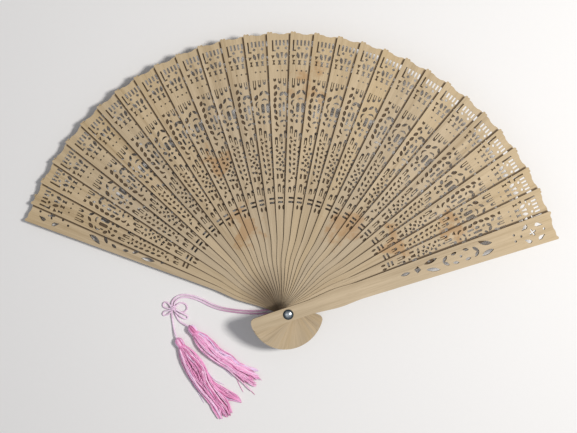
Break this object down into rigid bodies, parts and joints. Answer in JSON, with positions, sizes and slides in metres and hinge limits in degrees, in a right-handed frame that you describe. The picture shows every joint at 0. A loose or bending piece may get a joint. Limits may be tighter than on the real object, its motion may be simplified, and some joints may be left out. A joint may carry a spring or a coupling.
{
  "type": "folding hand fan",
  "caption": "Folding hand fan of pierced wooden blades on one rivet, open, with a doubled cord, a small bow and silk tassels.",
  "frame": {"origin": "on the rivet's axis, on the flat outer face of the rivet's rear cap, which the fan rests on", "axes": "+Z along the rivet's axis from the rear cap to the domed head; +Y towards the top of the open fan; +X to the front guard's side"},
  "size_m": [0.3901, 0.2896, 0.0313],
  "materials": {
    "stick_wood": "raw sanded wood",
    "guard_wood": "raw sanded wood",
    "rivet_metal": "polished",
    "washer_metal": "satin",
    "cord_silk": "satin cord",
    "tassel_silk": "silky strands"
  },
  "bodies": {
    "rear_blade_and_rivet": {"rear_guard": "guard_wood", "rivet_pin": "rivet_metal", "rivet_cap": "rivet_metal", "rear_washer": "washer_metal", "cord_loop": "cord_silk", "cord_strand_1": "cord_silk", "cord_strand_2": "cord_silk", "bow_knot": "cord_silk", "bow_loop_left": "cord_silk", "bow_loop_right": "cord_silk", "bow_tail_left": "cord_silk", "bow_tail_right": "cord_silk", "tassel_1_head": "tassel_silk", "tassel_1_binding": "tassel_silk", "tassel_1_skirt": "tassel_silk", "tassel_2_head": "tassel_silk", "tassel_2_binding": "tassel_silk", "tassel_2_skirt": "tassel_silk"},
    "stick_01_body": {"stick_01": "stick_wood"},
    "stick_02_body": {"stick_02": "stick_wood"},
    "stick_03_body": {"stick_03": "stick_wood"},
    "stick_04_body": {"stick_04": "stick_wood"},
    "stick_05_body": {"stick_05": "stick_wood"},
    "stick_06_body": {"stick_06": "stick_wood"},
    "stick_07_body": {"stick_07": "stick_wood"},
    "stick_08_body": {"stick_08": "stick_wood"},
    "stick_09_body": {"stick_09": "stick_wood"},
    "stick_10_body": {"stick_10": "stick_wood"},
    "stick_11_body": {"stick_11": "stick_wood"},
    "stick_12_body": {"stick_12": "stick_wood"},
    "stick_13_body": {"stick_13": "stick_wood"},
    "stick_14_body": {"stick_14": "stick_wood"},
    "stick_15_body": {"stick_15": "stick_wood"},
    "stick_16_body": {"stick_16": "stick_wood"},
    "stick_17_body": {"stick_17": "stick_wood"},
    "stick_18_body": {"stick_18": "stick_wood"},
    "stick_19_body": {"stick_19": "stick_wood"},
    "stick_20_body": {"stick_20": "stick_wood"},
    "stick_21_body": {"stick_21": "stick_wood"},
    "stick_22_body": {"stick_22": "stick_wood"},
    "stick_23_body": {"stick_23": "stick_wood"},
    "stick_24_body": {"stick_24": "stick_wood"},
    "stick_25_body": {"stick_25": "stick_wood"},
    "stick_26_body": {"stick_26": "stick_wood"},
    "stick_27_body": {"stick_27": "stick_wood"},
    "stick_28_body": {"stick_28": "stick_wood"},
    "front_guard_body": {"front_guard": "guard_wood"}
  },
  "joints": [
    {"name": "fan_fold", "type": "hinge", "parent": "rear_blade_and_rivet", "child": "front_guard_body", "pos_m": [0, 0, 0], "axis": [0, 0, 1], "range_deg": [0, 139.51]},
    {"name": "stick_01_turn", "type": "hinge", "parent": "rear_blade_and_rivet", "child": "stick_01_body", "pos_m": [0, 0, 0], "axis": [0, 0, 1], "range_deg": [0, 3.77]},
    {"name": "stick_02_turn", "type": "hinge", "parent": "rear_blade_and_rivet", "child": "stick_02_body", "pos_m": [0, 0, 0], "axis": [0, 0, 1], "range_deg": [0, 8.61]},
    {"name": "stick_03_turn", "type": "hinge", "parent": "rear_blade_and_rivet", "child": "stick_03_body", "pos_m": [0, 0, 0], "axis": [0, 0, 1], "range_deg": [0, 13.44]},
    {"name": "stick_04_turn", "type": "hinge", "parent": "rear_blade_and_rivet", "child": "stick_04_body", "pos_m": [0, 0, 0], "axis": [0, 0, 1], "range_deg": [0, 18.28]},
    {"name": "stick_05_turn", "type": "hinge", "parent": "rear_blade_and_rivet", "child": "stick_05_body", "pos_m": [0, 0, 0], "axis": [0, 0, 1], "range_deg": [0, 23.11]},
    {"name": "stick_06_turn", "type": "hinge", "parent": "rear_blade_and_rivet", "child": "stick_06_body", "pos_m": [0, 0, 0], "axis": [0, 0, 1], "range_deg": [0, 27.95]},
    {"name": "stick_07_turn", "type": "hinge", "parent": "rear_blade_and_rivet", "child": "stick_07_body", "pos_m": [0, 0, 0], "axis": [0, 0, 1], "range_deg": [0, 32.78]},
    {"name": "stick_08_turn", "type": "hinge", "parent": "rear_blade_and_rivet", "child": "stick_08_body", "pos_m": [0, 0, 0], "axis": [0, 0, 1], "range_deg": [0, 37.62]},
    {"name": "stick_09_turn", "type": "hinge", "parent": "rear_blade_and_rivet", "child": "stick_09_body", "pos_m": [0, 0, 0], "axis": [0, 0, 1], "range_deg": [0, 42.45]},
    {"name": "stick_10_turn", "type": "hinge", "parent": "rear_blade_and_rivet", "child": "stick_10_body", "pos_m": [0, 0, 0], "axis": [0, 0, 1], "range_deg": [0, 47.29]},
    {"name": "stick_11_turn", "type": "hinge", "parent": "rear_blade_and_rivet", "child": "stick_11_body", "pos_m": [0, 0, 0], "axis": [0, 0, 1], "range_deg": [0, 52.12]},
    {"name": "stick_12_turn", "type": "hinge", "parent": "rear_blade_and_rivet", "child": "stick_12_body", "pos_m": [0, 0, 0], "axis": [0, 0, 1], "range_deg": [0, 56.96]},
    {"name": "stick_13_turn", "type": "hinge", "parent": "rear_blade_and_rivet", "child": "stick_13_body", "pos_m": [0, 0, 0], "axis": [0, 0, 1], "range_deg": [0, 61.79]},
    {"name": "stick_14_turn", "type": "hinge", "parent": "rear_blade_and_rivet", "child": "stick_14_body", "pos_m": [0, 0, 0], "axis": [0, 0, 1], "range_deg": [0, 66.63]},
    {"name": "stick_15_turn", "type": "hinge", "parent": "rear_blade_and_rivet", "child": "stick_15_body", "pos_m": [0, 0, 0], "axis": [0, 0, 1], "range_deg": [0, 71.46]},
    {"name": "stick_16_turn", "type": "hinge", "parent": "rear_blade_and_rivet", "child": "stick_16_body", "pos_m": [0, 0, 0], "axis": [0, 0, 1], "range_deg": [0, 76.3]},
    {"name": "stick_17_turn", "type": "hinge", "parent": "rear_blade_and_rivet", "child": "stick_17_body", "pos_m": [0, 0, 0], "axis": [0, 0, 1], "range_deg": [0, 81.13]},
    {"name": "stick_18_turn", "type": "hinge", "parent": "rear_blade_and_rivet", "child": "stick_18_body", "pos_m": [0, 0, 0], "axis": [0, 0, 1], "range_deg": [0, 85.97]},
    {"name": "stick_19_turn", "type": "hinge", "parent": "rear_blade_and_rivet", "child": "stick_19_body", "pos_m": [0, 0, 0], "axis": [0, 0, 1], "range_deg": [0, 90.8]},
    {"name": "stick_20_turn", "type": "hinge", "parent": "rear_blade_and_rivet", "child": "stick_20_body", "pos_m": [0, 0, 0], "axis": [0, 0, 1], "range_deg": [0, 95.64]},
    {"name": "stick_21_turn", "type": "hinge", "parent": "rear_blade_and_rivet", "child": "stick_21_body", "pos_m": [0, 0, 0], "axis": [0, 0, 1], "range_deg": [0, 100.47]},
    {"name": "stick_22_turn", "type": "hinge", "parent": "rear_blade_and_rivet", "child": "stick_22_body", "pos_m": [0, 0, 0], "axis": [0, 0, 1], "range_deg": [0, 105.31]},
    {"name": "stick_23_turn", "type": "hinge", "parent": "rear_blade_and_rivet", "child": "stick_23_body", "pos_m": [0, 0, 0], "axis": [0, 0, 1], "range_deg": [0, 110.14]},
    {"name": "stick_24_turn", "type": "hinge", "parent": "rear_blade_and_rivet", "child": "stick_24_body", "pos_m": [0, 0, 0], "axis": [0, 0, 1], "range_deg": [0, 114.98]},
    {"name": "stick_25_turn", "type": "hinge", "parent": "rear_blade_and_rivet", "child": "stick_25_body", "pos_m": [0, 0, 0], "axis": [0, 0, 1], "range_deg": [0, 119.81]},
    {"name": "stick_26_turn", "type": "hinge", "parent": "rear_blade_and_rivet", "child": "stick_26_body", "pos_m": [0, 0, 0], "axis": [0, 0, 1], "range_deg": [0, 124.65]},
    {"name": "stick_27_turn", "type": "hinge", "parent": "rear_blade_and_rivet", "child": "stick_27_body", "pos_m": [0, 0, 0], "axis": [0, 0, 1], "range_deg": [0, 129.48]},
    {"name": "stick_28_turn", "type": "hinge", "parent": "rear_blade_and_rivet", "child": "stick_28_body", "pos_m": [0, 0, 0], "axis": [0, 0, 1], "range_deg": [0, 134.32]}
  ],
  "couplings": [
    {"joint": "stick_01_turn", "follows": "fan_fold", "ratio": 0.027023},
    {"joint": "stick_02_turn", "follows": "fan_fold", "ratio": 0.06168},
    {"joint": "stick_03_turn", "follows": "fan_fold", "ratio": 0.096337},
    {"joint": "stick_04_turn", "follows": "fan_fold", "ratio": 0.13099},
    {"joint": "stick_05_turn", "follows": "fan_fold", "ratio": 0.16565},
    {"joint": "stick_06_turn", "follows": "fan_fold", "ratio": 0.20031},
    {"joint": "stick_07_turn", "follows": "fan_fold", "ratio": 0.23497},
    {"joint": "stick_08_turn", "follows": "fan_fold", "ratio": 0.26962},
    {"joint": "stick_09_turn", "follows": "fan_fold", "ratio": 0.30428},
    {"joint": "stick_10_turn", "follows": "fan_fold", "ratio": 0.33894},
    {"joint": "stick_11_turn", "follows": "fan_fold", "ratio": 0.37359},
    {"joint": "stick_12_turn", "follows": "fan_fold", "ratio": 0.40825},
    {"joint": "stick_13_turn", "follows": "fan_fold", "ratio": 0.44291},
    {"joint": "stick_14_turn", "follows": "fan_fold", "ratio": 0.47756},
    {"joint": "stick_15_turn", "follows": "fan_fold", "ratio": 0.51222},
    {"joint": "stick_16_turn", "follows": "fan_fold", "ratio": 0.54688},
    {"joint": "stick_17_turn", "follows": "fan_fold", "ratio": 0.58154},
    {"joint": "stick_18_turn", "follows": "fan_fold", "ratio": 0.61619},
    {"joint": "stick_19_turn", "follows": "fan_fold", "ratio": 0.65085},
    {"joint": "stick_20_turn", "follows": "fan_fold", "ratio": 0.68551},
    {"joint": "stick_21_turn", "follows": "fan_fold", "ratio": 0.72016},
    {"joint": "stick_22_turn", "follows": "fan_fold", "ratio": 0.75482},
    {"joint": "stick_23_turn", "follows": "fan_fold", "ratio": 0.78948},
    {"joint": "stick_24_turn", "follows": "fan_fold", "ratio": 0.82413},
    {"joint": "stick_25_turn", "follows": "fan_fold", "ratio": 0.85879},
    {"joint": "stick_26_turn", "follows": "fan_fold", "ratio": 0.89345},
    {"joint": "stick_27_turn", "follows": "fan_fold", "ratio": 0.92811},
    {"joint": "stick_28_turn", "follows": "fan_fold", "ratio": 0.96276}
  ]
}
